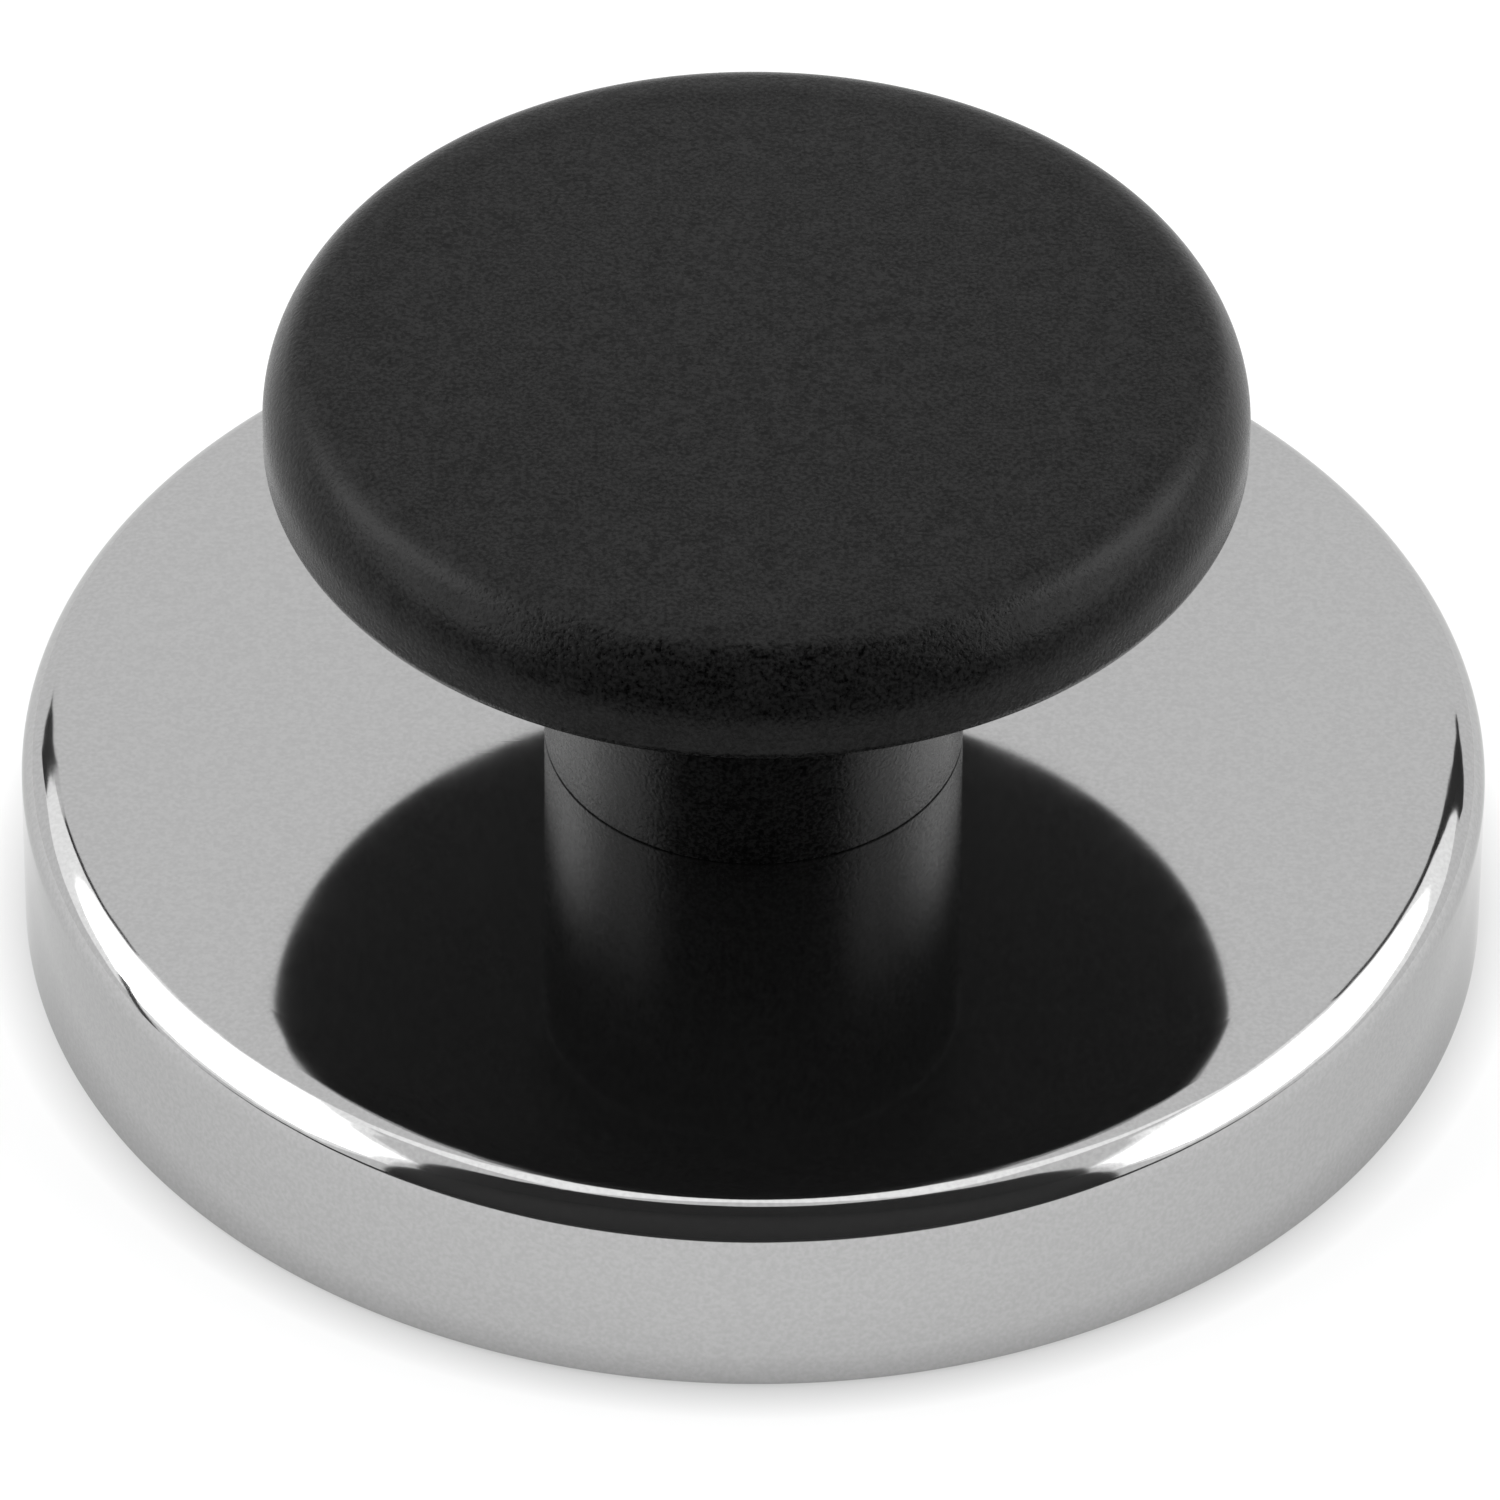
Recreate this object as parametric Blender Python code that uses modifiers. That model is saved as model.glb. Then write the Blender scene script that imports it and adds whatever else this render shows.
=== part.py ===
"""Round hand magnet: a drawn steel cup with a ring magnet, and a moulded knob screwed to its top plate.

Blender 4.5, in metres, +Z up. The origin is the centre of the magnetic face, which lies on z = 0.
The knob and its brass insert unscrew upwards about +Z; everything else stays with the cup.
"""

import math

import bmesh
import bpy

MM = 0.001
INCH = 25.4 * MM
COLLECTION = "hand_magnet"
SEAM = 0.15 * MM  # clearance between pieces that are clamped or glued face to face
CONTACT = 0.3 * MM  # clearance between the neck's foot and the plate that it is screwed down on

# Drawn cup
CUP_RADIUS = 2.625 * INCH / 2
CUP_HEIGHT = 10.0 * MM
CUP_GAUGE = 2.3 * MM
CUP_INNER_RADIUS = 1.0 * MM
CUP_LIP_RADIUS = 0.35 * MM
CUP_HOLE_RADIUS = 3.55 * MM
# The drawn edge rolls over in three arcs, from the flat plate out: each has a radius and an end slope
CUP_EDGE_ARCS = (
    (49.0 * MM, math.radians(2.4)),
    (7.1 * MM, math.radians(9.6)),
    (1.8 * MM, math.radians(90.0)),
)

# Knob
HEAD_RADIUS = 22.1 * MM
HEAD_UNDERSIDE = 26.65 * MM
HEAD_RIM_TOP = 32.2 * MM
HEAD_DOME = 0.33 * MM
HEAD_TOP_EDGE = 3.1 * MM
HEAD_LOWER_EDGE = 1.2 * MM
NECK_RADIUS = 0.75 * INCH / 2
NECK_FILLET = 0.8 * MM
NECK_FOOT_EDGE = 0.3 * MM

# Quarter-inch thread and the hardware on it
THREAD_RADIUS = 0.25 * INCH / 2
THREAD_PITCH = INCH / 20
THREAD_DEPTH = 0.61 * THREAD_PITCH
THREAD_CLEARANCE = 0.2 * MM
SCREW_LENGTH = 0.75 * INCH
SCREW_HEAD_RADIUS = 6.0 * MM
SCREW_HEAD_HEIGHT = 3.5 * MM
SCREW_HEAD_EDGE = 1.6 * MM
SCREW_POINT = 0.9 * MM
RECESS_WIDTH = 1.3 * MM
RECESS_SPAN = 6.4 * MM
RECESS_DEPTH = 2.1 * MM
FLAT_WASHER_RADIUS = 0.625 * INCH / 2
FLAT_WASHER_THICKNESS = 1.3 * MM
LOCK_WASHER_RADIUS = 6.15 * MM
LOCK_WASHER_THICKNESS = 1.6 * MM
LOCK_WASHER_SPLIT = 0.9 * MM
LOCK_WASHER_SLANT = math.radians(25.0)
WASHER_HOLE_RADIUS = 3.4 * MM
METAL_EDGE = 0.15 * MM  # the broken edge on stamped pieces and the plate's hole

# Brass insert
INSERT_RADIUS = 0.375 * INCH / 2
INSERT_LENGTH = 0.5 * INCH
INSERT_EDGE = 0.4 * MM
KNURL_DEPTH = 0.35 * MM
KNURL_GROOVE = 1.6 * MM
POCKET_TIP_ROOM = 1.8 * MM

# Magnet, its glue and its potting
MAGNET_RADIUS = 28.5 * MM
MAGNET_HOLE_RADIUS = 9.5 * MM
MAGNET_EDGE = 0.5 * MM
BED_THICKNESS = 0.4 * MM
BED_MARGIN = 0.8 * MM
POTTING_RECESS = 0.4 * MM
POTTING_TOP = 6.2 * MM

# Facets round the axis
CUP_STEPS = 72
KNOB_STEPS = 56
MAGNET_STEPS = 48
HARDWARE_STEPS = 24
THREAD_STEPS = 16
RINGS_PER_PITCH = 4
ARC_STEP = math.radians(22.5)
SHARP_ANGLE = math.radians(32.0)
MERGE = 0.00001

# Heights that follow from the dimensions above
PLATE_UNDERSIDE = CUP_HEIGHT - CUP_GAUGE
KNOB_SEAT = CUP_HEIGHT + CONTACT
FLAT_WASHER_SEAT = PLATE_UNDERSIDE - SEAM - FLAT_WASHER_THICKNESS
LOCK_WASHER_SEAT = FLAT_WASHER_SEAT - SEAM - LOCK_WASHER_THICKNESS
SCREW_SEAT = LOCK_WASHER_SEAT - SEAM
BED_SEAT = PLATE_UNDERSIDE - SEAM - BED_THICKNESS
MAGNET_THICKNESS = BED_SEAT - SEAM

MATERIALS = {
    "chrome_plate": ((0.55, 0.555, 0.56), 0.06, 1.0),
    "black_plastic": ((0.018, 0.018, 0.019), 0.5, 0.0),
    "brass": ((0.72, 0.53, 0.24), 0.32, 1.0),
    "zinc_steel": ((0.62, 0.63, 0.65), 0.3, 1.0),
    "spring_steel": ((0.33, 0.33, 0.34), 0.4, 1.0),
    "ferrite": ((0.055, 0.055, 0.06), 0.6, 0.0),
    "potting_resin": ((0.03, 0.032, 0.035), 0.35, 0.0),
    "glue": ((0.55, 0.5, 0.38), 0.5, 0.0),
}


def clear_scene():
    for obj in list(bpy.data.objects):
        bpy.data.objects.remove(obj, do_unlink=True)


def new_collection(name):
    made = bpy.data.collections.new(name)
    bpy.context.scene.collection.children.link(made)
    return made


def principled(name):
    """The material of this name, with its colour, roughness and metallic value."""
    colour, roughness, metallic = MATERIALS[name]
    made = bpy.data.materials.new(name)
    made.use_nodes = True
    made.diffuse_color = (*colour, 1.0)
    shader = made.node_tree.nodes["Principled BSDF"]
    shader.inputs["Base Color"].default_value = (*colour, 1.0)
    shader.inputs["Roughness"].default_value = roughness
    shader.inputs["Metallic"].default_value = metallic
    return made


def arc(centre, radius, start, end):
    """Points (r, z) on an arc, both ends included. Angles run from the outward direction up to +Z."""
    steps = max(2, round(abs(end - start) / ARC_STEP))
    angles = [start + (end - start) * i / steps for i in range(steps + 1)]
    return [(centre[0] + radius * math.cos(a), centre[1] + radius * math.sin(a)) for a in angles]


def ring_profile(inner, outer, low, high, edge):
    """A rectangular ring section with all four corners cut back by edge, outer side down, closed."""
    return [
        (inner + edge, high),
        (outer - edge, high),
        (outer, high - edge),
        (outer, low + edge),
        (outer - edge, low),
        (inner + edge, low),
        (inner, low + edge),
        (inner, high - edge),
    ]


def applied(obj):
    """Replaces the object's mesh by its evaluated one and takes its modifiers off."""
    bpy.context.view_layer.update()
    graph = bpy.context.evaluated_depsgraph_get()
    mesh = bpy.data.meshes.new_from_object(obj.evaluated_get(graph))
    obj.modifiers.clear()
    obj.data = mesh
    return mesh


def turned(name, profile, steps, closed, collection):
    """A solid of revolution about +Z from points (r, z) that run down its outer side."""
    mesh = bpy.data.meshes.new(name)
    count = len(profile)
    edges = [(i, i + 1) for i in range(count - 1)]
    if closed:
        edges.append((count - 1, 0))
    mesh.from_pydata([(r, 0.0, z) for r, z in profile], edges, [])
    obj = bpy.data.objects.new(name, mesh)
    collection.objects.link(obj)
    screw = obj.modifiers.new("Screw", "SCREW")
    screw.axis = "Z"
    screw.steps = steps
    screw.render_steps = steps
    screw.use_merge_vertices = True
    screw.merge_threshold = MERGE
    applied(obj)
    return obj


def dress(obj, material):
    """Gives the piece its material and smooth shading with crisp corners."""
    obj.data.materials.clear()
    obj.data.materials.append(material)
    obj.data.shade_smooth()
    obj.data.set_sharp_from_angle(angle=SHARP_ANGLE)
    return obj


def blade(name, size, taper, location, rotation, collection):
    """A box cutter whose upper end is narrowed by taper."""
    mesh = bpy.data.meshes.new(name)
    shape = bmesh.new()
    bmesh.ops.create_cube(shape, size=1.0)
    for vertex in shape.verts:
        share = taper if vertex.co.z > 0 else 1.0
        vertex.co.x *= size[0] * share
        vertex.co.y *= size[1] * share
        vertex.co.z *= size[2]
    shape.to_mesh(mesh)
    shape.free()
    cutter = bpy.data.objects.new(name, mesh)
    cutter.location = location
    cutter.rotation_euler = rotation
    cutter.hide_render = True
    cutter.display_type = "WIRE"
    collection.objects.link(cutter)
    return cutter


def cut(obj, cutter):
    boolean = obj.modifiers.new(cutter.name, "BOOLEAN")
    boolean.operation = "DIFFERENCE"
    boolean.solver = "EXACT"
    boolean.object = cutter


def cup_edge():
    """From the edge of the plate's flat over the three arcs to the top of the upright wall."""
    starts = [0.0] + [end for _, end in CUP_EDGE_ARCS[:-1]]
    spans = [
        radius * (math.sin(end) - math.sin(start))
        for start, (radius, end) in zip(starts, CUP_EDGE_ARCS)
    ]
    r, z = CUP_RADIUS - sum(spans), CUP_HEIGHT
    points = [(r, z)]
    for start, (radius, end) in zip(starts, CUP_EDGE_ARCS):
        centre = (r - radius * math.sin(start), z - radius * math.cos(start))
        points += arc(centre, radius, math.pi / 2 - start, math.pi / 2 - end)[1:]
        r, z = points[-1]
    return points


def cup_profile():
    """Down the plate's rolled edge and the wall, round the lip and back up inside."""
    lip_out = CUP_RADIUS - CUP_LIP_RADIUS
    lip = arc((lip_out, CUP_LIP_RADIUS), CUP_LIP_RADIUS, 0.0, -math.pi / 2)
    bore = CUP_RADIUS - CUP_GAUGE
    corner = (bore - CUP_INNER_RADIUS, PLATE_UNDERSIDE - CUP_INNER_RADIUS)
    inside = arc(corner, CUP_INNER_RADIUS, 0.0, math.pi / 2)
    hole = [
        (CUP_HOLE_RADIUS + METAL_EDGE, PLATE_UNDERSIDE),
        (CUP_HOLE_RADIUS, PLATE_UNDERSIDE + METAL_EDGE),
        (CUP_HOLE_RADIUS, CUP_HEIGHT - METAL_EDGE),
        (CUP_HOLE_RADIUS + METAL_EDGE, CUP_HEIGHT),
    ]
    return cup_edge() + lip + [(bore, 0.0)] + inside + hole


def knob_profile():
    """From the middle of the top down the outside to the neck's foot, then up the insert's pocket."""
    top = HEAD_RIM_TOP - KNOB_SEAT
    underside = HEAD_UNDERSIDE - KNOB_SEAT
    flat_radius = HEAD_RADIUS - HEAD_TOP_EDGE
    dome_steps = 3
    dome = []
    for i in range(dome_steps):
        radius = flat_radius * i / dome_steps
        dome.append((radius, top + HEAD_DOME * (1 - (radius / flat_radius) ** 2)))
    edge = arc((flat_radius, top - HEAD_TOP_EDGE), HEAD_TOP_EDGE, math.pi / 2, 0.0)
    lower = (HEAD_RADIUS - HEAD_LOWER_EDGE, underside + HEAD_LOWER_EDGE)
    lower_edge = arc(lower, HEAD_LOWER_EDGE, 0.0, -math.pi / 2)
    fillet_centre = (NECK_RADIUS + NECK_FILLET, underside - NECK_FILLET)
    fillet = arc(fillet_centre, NECK_FILLET, math.pi / 2, math.pi)
    foot = [
        (NECK_RADIUS, NECK_FOOT_EDGE),
        (NECK_RADIUS - NECK_FOOT_EDGE, 0.0),
    ]
    pocket_radius = INSERT_RADIUS + SEAM
    pocket_top = SEAM + INSERT_LENGTH + SEAM
    tip_radius = THREAD_RADIUS + THREAD_CLEARANCE
    pocket = [
        (pocket_radius, 0.0),
        (pocket_radius, pocket_top),
        (tip_radius, pocket_top),
        (tip_radius, pocket_top + POCKET_TIP_ROOM),
        (0.0, pocket_top + POCKET_TIP_ROOM),
    ]
    return dome + edge + lower_edge + fillet + foot + pocket


def make_cup(parts):
    return turned("cup", cup_profile(), CUP_STEPS, True, parts)


def make_knob(parts):
    knob = turned("knob", knob_profile(), KNOB_STEPS, False, parts)
    knob.location.z = KNOB_SEAT - CUP_HEIGHT
    return knob


def make_insert(parts):
    """A threaded brass bush with two knurled bands and a plain retaining groove between them."""
    bore = THREAD_RADIUS + THREAD_CLEARANCE
    groove_radius = INSERT_RADIUS - 2 * KNURL_DEPTH
    lower_band = (INSERT_LENGTH - KNURL_GROOVE) / 2
    upper_band = (INSERT_LENGTH + KNURL_GROOVE) / 2
    profile = [
        (bore + INSERT_EDGE, INSERT_LENGTH),
        (INSERT_RADIUS - INSERT_EDGE, INSERT_LENGTH),
        (INSERT_RADIUS, INSERT_LENGTH - INSERT_EDGE),
        (INSERT_RADIUS, upper_band),
        (groove_radius, upper_band),
        (groove_radius, lower_band),
        (INSERT_RADIUS, lower_band),
        (INSERT_RADIUS, INSERT_EDGE),
        (INSERT_RADIUS - INSERT_EDGE, 0.0),
        (bore + INSERT_EDGE, 0.0),
        (bore, INSERT_EDGE),
        (bore, INSERT_LENGTH - INSERT_EDGE),
    ]
    insert = turned("knob_insert", profile, 2 * HARDWARE_STEPS, True, parts)
    for vertex in insert.data.vertices:
        radius = math.hypot(vertex.co.x, vertex.co.y)
        turn = math.atan2(vertex.co.y, vertex.co.x) / math.tau
        in_root = round(turn * 2 * HARDWARE_STEPS) % 2 == 1
        if in_root and radius > INSERT_RADIUS - KNURL_DEPTH / 2:
            share = (INSERT_RADIUS - KNURL_DEPTH) / radius
            vertex.co.x *= share
            vertex.co.y *= share
    insert.location.z = KNOB_SEAT - CUP_HEIGHT + SEAM
    return insert


def thread_share(turn, height):
    """How deep a right-hand thread is at this place: 0 on the crest and 1 at the root."""
    phase = (height / THREAD_PITCH - turn) % 1.0
    return 1.0 - abs(2.0 * phase - 1.0)


def make_screw(parts, cutters):
    """A pan-head screw that points up, with its head below z = 0 of its own frame."""
    rings = round(SCREW_LENGTH / THREAD_PITCH) * RINGS_PER_PITCH
    top = SCREW_LENGTH - SCREW_POINT
    shank = [(THREAD_RADIUS, top * (rings - i) / rings) for i in range(rings + 1)]
    head_flat = SCREW_HEAD_RADIUS - SCREW_HEAD_EDGE
    head_edge = arc(
        (head_flat, SCREW_HEAD_EDGE - SCREW_HEAD_HEIGHT), SCREW_HEAD_EDGE, 0.0, -math.pi / 2
    )
    tip_radius = THREAD_RADIUS - THREAD_DEPTH - METAL_EDGE
    profile = [(0.0, SCREW_LENGTH), (tip_radius, SCREW_LENGTH)]
    profile += shank
    profile += [(SCREW_HEAD_RADIUS, 0.0)] + head_edge + [(0.0, -SCREW_HEAD_HEIGHT)]
    screw = turned("clamp_screw", profile, THREAD_STEPS, False, parts)
    for vertex in screw.data.vertices:
        radius = math.hypot(vertex.co.x, vertex.co.y)
        if abs(radius - THREAD_RADIUS) > MERGE or vertex.co.z < MERGE:
            continue
        turn = math.atan2(vertex.co.y, vertex.co.x) / math.tau
        run_in = min(1.0, vertex.co.z / THREAD_PITCH)
        depth = THREAD_DEPTH * thread_share(turn, vertex.co.z) * run_in
        vertex.co.x *= (radius - depth) / radius
        vertex.co.y *= (radius - depth) / radius
    screw.location.z = SCREW_SEAT
    size = (RECESS_SPAN, RECESS_WIDTH, 2 * RECESS_DEPTH)
    bottom = (0.0, 0.0, SCREW_SEAT - SCREW_HEAD_HEIGHT)
    for index in range(2):
        turn = math.pi / 2 * index
        cut(screw, blade(f"recess_blade_{index}", size, 0.45, bottom, (0.0, 0.0, turn), cutters))
    return screw


def make_flat_washer(parts):
    profile = ring_profile(
        WASHER_HOLE_RADIUS, FLAT_WASHER_RADIUS, 0.0, FLAT_WASHER_THICKNESS, METAL_EDGE
    )
    washer = turned("flat_washer", profile, HARDWARE_STEPS, True, parts)
    washer.location.z = FLAT_WASHER_SEAT
    return washer


def make_lock_washer(parts, cutters):
    profile = ring_profile(
        WASHER_HOLE_RADIUS, LOCK_WASHER_RADIUS, 0.0, LOCK_WASHER_THICKNESS, METAL_EDGE
    )
    washer = turned("lock_washer", profile, HARDWARE_STEPS, True, parts)
    washer.location.z = LOCK_WASHER_SEAT
    size = (LOCK_WASHER_RADIUS, LOCK_WASHER_SPLIT, 4 * LOCK_WASHER_THICKNESS)
    middle = (LOCK_WASHER_RADIUS * 0.8, 0.0, LOCK_WASHER_SEAT + LOCK_WASHER_THICKNESS / 2)
    cut(washer, blade("washer_split", size, 1.0, middle, (LOCK_WASHER_SLANT, 0.0, 0.0), cutters))
    return washer


def make_magnet(parts):
    profile = ring_profile(MAGNET_HOLE_RADIUS, MAGNET_RADIUS, 0.0, MAGNET_THICKNESS, MAGNET_EDGE)
    return turned("ring_magnet", profile, MAGNET_STEPS, True, parts)


def make_adhesive_bed(parts):
    inner = MAGNET_HOLE_RADIUS + BED_MARGIN
    outer = MAGNET_RADIUS - BED_MARGIN
    profile = ring_profile(inner, outer, 0.0, BED_THICKNESS, BED_THICKNESS / 4)
    bed = turned("adhesive_bed", profile, MAGNET_STEPS, True, parts)
    bed.location.z = BED_SEAT
    return bed


def make_potting_ring(parts):
    """Resin that fills the space between the magnet and the cup's wall, sunk a little at its face."""
    inner = MAGNET_RADIUS + SEAM
    outer = CUP_RADIUS - CUP_GAUGE - SEAM
    profile = ring_profile(inner, outer, 0.0, POTTING_TOP - POTTING_RECESS, METAL_EDGE)
    potting = turned("potting_ring", profile, MAGNET_STEPS, True, parts)
    potting.location.z = POTTING_RECESS
    return potting


def main():
    clear_scene()
    parts = new_collection(COLLECTION)
    cutters = new_collection(f"{COLLECTION}_cutters")
    knob_axis = bpy.data.objects.new("knob_thread_axis", None)
    knob_axis.location.z = CUP_HEIGHT
    parts.objects.link(knob_axis)

    plastic = principled("black_plastic")
    steel = principled("zinc_steel")
    for turning in (dress(make_knob(parts), plastic), dress(make_insert(parts), principled("brass"))):
        turning.parent = knob_axis
    dress(make_cup(parts), principled("chrome_plate"))
    dress(make_screw(parts, cutters), steel)
    dress(make_flat_washer(parts), steel)
    dress(make_lock_washer(parts, cutters), principled("spring_steel"))
    dress(make_magnet(parts), principled("ferrite"))
    dress(make_adhesive_bed(parts), principled("glue"))
    dress(make_potting_ring(parts), principled("potting_resin"))


main()
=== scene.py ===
"""A round hand magnet: fine turned surfaces, procedural materials, a studio and the camera."""

import math

import bmesh
import bpy
from mathutils import Matrix, Vector


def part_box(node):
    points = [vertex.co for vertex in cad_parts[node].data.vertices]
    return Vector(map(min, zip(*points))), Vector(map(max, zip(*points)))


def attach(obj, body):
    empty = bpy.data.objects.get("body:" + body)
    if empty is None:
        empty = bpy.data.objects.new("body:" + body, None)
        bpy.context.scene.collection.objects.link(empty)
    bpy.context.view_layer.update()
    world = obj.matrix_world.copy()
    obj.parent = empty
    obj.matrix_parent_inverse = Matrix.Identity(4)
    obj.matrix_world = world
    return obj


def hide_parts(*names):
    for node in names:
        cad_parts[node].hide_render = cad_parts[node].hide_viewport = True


MM = 0.001
INCH = 25.4 * MM

# Round surfaces
FINE_STEPS = 288
SMALL_STEPS = 144
ARC_STEP = math.radians(2.5)
SOFT_ARC_STEP = math.radians(0.4)
LIP_ARC_STEP = math.radians(10.0)
SCREW_ARC_STEP = math.radians(6.0)
SMALL_ARC_STEP = math.radians(15.0)
SHARP_ANGLE = math.radians(28.0)
DOME_RINGS = 24
GUARD = 0.3 * MM  # a ring this far from a bend keeps the shading of the flat beside it flat
MERGE = 0.000001
SEAM = 0.15 * MM  # clearance between pieces that are clamped or glued face to face
METAL_EDGE = 0.15 * MM  # the broken edge on stamped pieces and the plate's hole

# Cup: each arc of its rolled edge as a radius, the slope that it ends at and its facets' angle
CUP_EDGE_ARCS = (
    (49.0 * MM, math.radians(2.4), SOFT_ARC_STEP),
    (7.1 * MM, math.radians(9.6), SOFT_ARC_STEP),
    (1.8 * MM, math.radians(90.0), ARC_STEP),
)
# The drawing leaves the rolled edge a little wavy, from the one radius fully at the other
EDGE_WAVE_START = 29.0 * MM
EDGE_WAVE_FULL = 31.5 * MM
EDGE_WAVE_SIZE = 3.5 * MM
EDGE_WAVE_DEPTH = 0.02 * MM
CHROME_EDGE_TINT = (0.8, 0.8, 0.8, 1.0)  # dims the plating's mirror at grazing angles
CUP_GAUGE = 2.3 * MM
CUP_INNER_RADIUS = 1.0 * MM
CUP_LIP_RADIUS = 0.35 * MM
CUP_HOLE_RADIUS = 3.55 * MM

# Knob
HEAD_UNDERSIDE = 26.65 * MM
HEAD_DOME = 0.33 * MM
HEAD_EDGE_ARCS = (
    (8.4 * MM, math.radians(11.0), SOFT_ARC_STEP),
    (2.1 * MM, math.radians(50.0), ARC_STEP),
    (4.4 * MM, math.radians(90.0), ARC_STEP),
)
HEAD_LOWER_EDGE = 0.7 * MM
NECK_RADIUS = 0.75 * INCH / 2
NECK_FILLET = 0.15 * MM
NECK_FOOT_EDGE = 0.1 * MM
NECK_CONTACT = 0.01 * MM  # how far the neck's foot stands off the plate
TIP_ROOM = 1.8 * MM

# Hardware
THREAD_PITCH = INCH / 20
THREAD_RADIUS = 0.25 * INCH / 2
THREAD_DEPTH = 0.61 * THREAD_PITCH
THREAD_FLAT = 0.12  # the share of the pitch that a crest or a root keeps flat
THREAD_STEPS = 64
RINGS_PER_PITCH = 14
SCREW_POINT = 0.9 * MM
SCREW_HEAD_HEIGHT = 3.5 * MM
SCREW_HEAD_EDGE = 1.6 * MM
RECESS_WIDTH = 1.3 * MM
RECESS_SPAN = 6.4 * MM
RECESS_DEPTH = 2.1 * MM
RECESS_TAPER = 0.45
WASHER_HOLE_RADIUS = 3.4 * MM
WASHER_SPLIT = 0.9 * MM
WASHER_SPLIT_MIDDLE = 0.8  # of the washer's radius
WASHER_SLANT = math.radians(25.0)
INSERT_BORE_RADIUS = THREAD_RADIUS + 0.2 * MM
INSERT_EDGE = 0.4 * MM
KNURL_TEETH = 36
KNURL_DEPTH = 0.35 * MM
KNURL_GROOVE = 1.6 * MM

# Magnet
MAGNET_HOLE_RADIUS = 9.5 * MM
MAGNET_EDGE = 0.5 * MM
CHIP_DEPTH = 0.12 * MM
CHIP_WAVES = (7, 19, 31, 53)
CHIP_PHASE = 1.7
MENISCUS = 0.22 * MM
MENISCUS_STEPS = 12

# Camera: how far it is from the middle of the plate's top, how high, and what it aims at
CAMERA_DISTANCE = 695.0 * MM
CAMERA_ELEVATION = math.radians(40.37)
CAMERA_ROLL = math.radians(0.51)
CAMERA_LENS = 366.5
CAMERA_SENSOR = 36.0
CAMERA_CLIP = (0.01, 20.0)
CAMERA_AIM_RIGHT = -0.16 * MM
CAMERA_AIM_UP = -1.02 * MM

# Studio: radiances, and boards given by their corners as (azimuth, elevation) in degrees
TENT_RADIANCE = 1.04
SOFTBOX_RADIANCE = 2.7
SIDE_RADIANCE = 5.8
SPILL_RADIANCE = 1.6
CEILING_RADIANCE = 1.7
BOARD_BLACK = (0.03, 0.03, 0.03)
SOFTBOX_RIGHT = (
    (25, 46), (40, 40), (60, 27), (85, 14), (116, 9),
    (126, 20), (121, 46), (85, 61), (60, 64), (26, 49),
)
SOFTBOX_LEFT = (
    (-24, 57), (-60, 65), (-85, 62), (-121, 47), (-126, 20),
    (-116, 9), (-85, 14), (-55, 31), (-40, 40), (-25, 45),
)
SIDE_RIGHT = (
    (58, 29), (85, 15), (116, 10), (125, 20), (120, 45), (85, 60), (58, 62.5),
)
SIDE_LEFT = (
    (-58, 63.5), (-85, 61), (-120, 46), (-125, 20), (-116, 10), (-85, 15), (-58, 30),
)
SPILL_RIGHT = (
    (24, 43), (32, 33), (60, 18), (85, 8), (120, 4),
    (128, 20), (123, 46), (85, 63), (60, 66), (24, 52),
)
SPILL_LEFT = (
    (-22, 59), (-60, 67), (-85, 64), (-123, 47), (-128, 20),
    (-120, 4), (-85, 8), (-60, 18), (-32, 29), (-22, 43),
)
POLE_RIGHT = ((20.5, 40), (30, 29), (47, 20), (47, 24), (30, 39), (21.5, 44))
POLE_LEFT = ((-20.5, 39.8), (-29, 37), (-44, 26), (-41, 20.5), (-29, 29))
FRAME_RIGHT = ((21.6, 43), (24, 42), (24, 50), (22, 50))
FRAME_LEFT = ((-21.8, 41), (-24, 41), (-24, 48), (-22.2, 48))
CEILING = ((-35, 57), (0, 62.5), (35, 57), (72, 79), (0, 74), (-72, 79))
OPENING = (
    (129, -0.3), (231, -0.3), (232, 36), (263, 70),
    (285, 79), (75, 79), (97, 70), (128, 36),
)
STAND = ((-91, -0.5), (-87.5, -0.5), (-77, 21), (-80, 21))
# How far the boards stand from the object, in metres
SOFTBOX_DISTANCE = 0.8
SIDE_DISTANCE = 0.78
SPILL_DISTANCE = 0.9
BOARD_DISTANCE = 0.7
CEILING_DISTANCE = 0.95
OPENING_DISTANCE = 1.0

FLOOR_RADIUS = 4.0
FLOOR_STEPS = 128
FLOOR_GAP = 0.02 * MM  # keeps the table's surface out of the magnet's face
FLOOR_COLOUR = (0.22, 0.22, 0.22)
FLOOR_GLOW = 0.74
# The floor's emission is weaker against the cup's lip, from the one radius to the other: a painted
# contact shadow
FLOOR_PAINTED_SHADOW_GLOW = 0.5
FLOOR_PAINTED_SHADOW_SPAN = (33.4 * MM, 35.4 * MM)
FRONT_CARD = (0.9, 0.08, 1.0, 0.0005)  # half width, near and far distance, height, in metres

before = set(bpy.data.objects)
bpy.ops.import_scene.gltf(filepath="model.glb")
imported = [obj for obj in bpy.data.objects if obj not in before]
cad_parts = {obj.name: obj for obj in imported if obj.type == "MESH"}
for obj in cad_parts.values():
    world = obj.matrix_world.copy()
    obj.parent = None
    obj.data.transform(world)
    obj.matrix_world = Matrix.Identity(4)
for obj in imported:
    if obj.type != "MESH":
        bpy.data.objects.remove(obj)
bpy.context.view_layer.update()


# ---------------------------------------------------------------- shapes


def arc(centre, radius, start, end, step=ARC_STEP):
    """Points (r, z) on an arc, both ends included. Angles run from the outward direction up to +Z."""
    count = max(2, round(abs(end - start) / step))
    angles = [start + (end - start) * i / count for i in range(count + 1)]
    return [(centre[0] + radius * math.cos(a), centre[1] + radius * math.sin(a)) for a in angles]


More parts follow.
